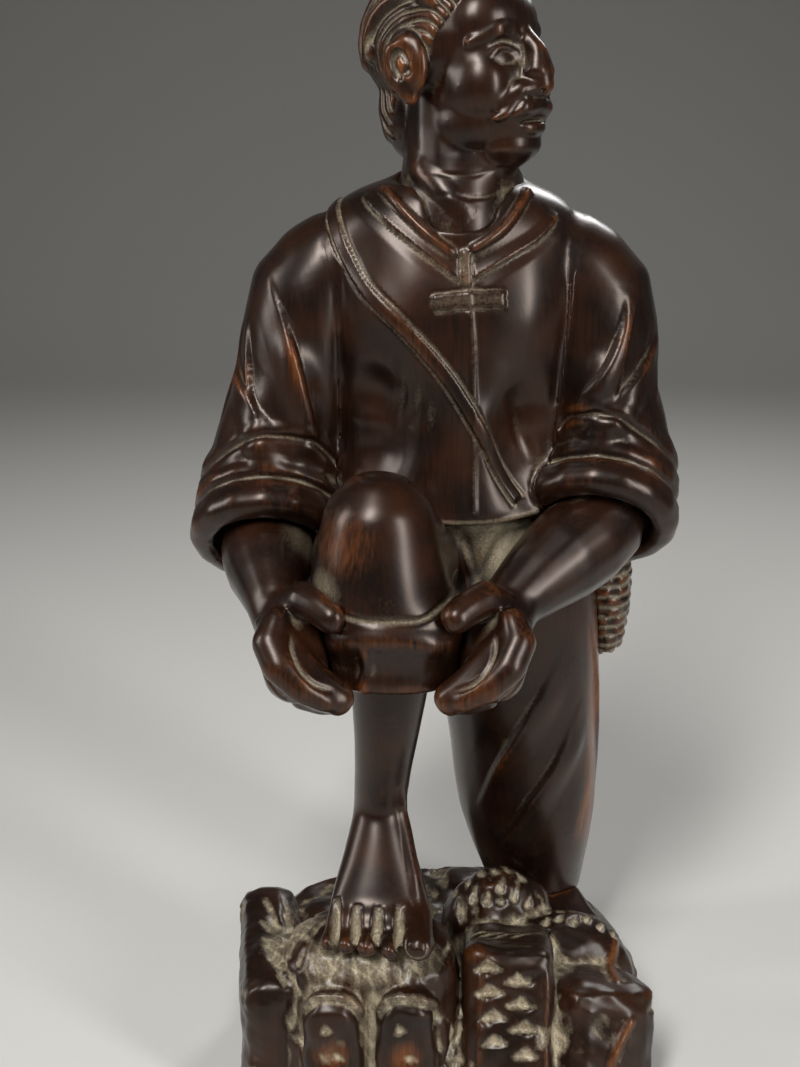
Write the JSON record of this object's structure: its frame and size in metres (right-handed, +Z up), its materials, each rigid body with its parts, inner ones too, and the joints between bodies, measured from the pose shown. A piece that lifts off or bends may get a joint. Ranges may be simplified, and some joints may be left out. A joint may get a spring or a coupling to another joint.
{
  "type": "carved wooden figure",
  "caption": "Carved boxwood ornament of a standing man with one bare foot on a rock, bending his arms to roll up that trouser leg, on a rough rock base.",
  "frame": {"origin": "centre of the base's flat underside", "axes": "+Z up, the figure faces -Y, +X towards its left hand"},
  "size_m": [0.1014, 0.086, 0.2269],
  "materials": {
    "polished_boxwood": "dark stain, polished by handling",
    "dusty_boxwood": "dark stain, chisel marks full of dust",
    "bamboo": "raw"
  },
  "bodies": {
    "root": {"rock_base": "dusty_boxwood", "trousers": "polished_boxwood", "standing_foot": "polished_boxwood", "raised_foot": "polished_boxwood", "thigh_and_hem": "polished_boxwood", "shirt_body": "polished_boxwood", "right_sleeve": "polished_boxwood", "left_sleeve": "polished_boxwood", "right_forearm": "polished_boxwood", "left_forearm": "polished_boxwood", "head": "polished_boxwood", "hip_bag": "polished_boxwood", "neck_peg": "bamboo", "waist_peg": "bamboo", "knee_peg": "bamboo", "hip_peg": "bamboo", "raised_foot_peg": "bamboo", "standing_leg_peg": "bamboo", "bag_peg": "bamboo", "right_shoulder_peg": "bamboo", "right_elbow_peg": "bamboo", "left_shoulder_peg": "bamboo", "left_elbow_peg": "bamboo"}
  },
  "joints": []
}
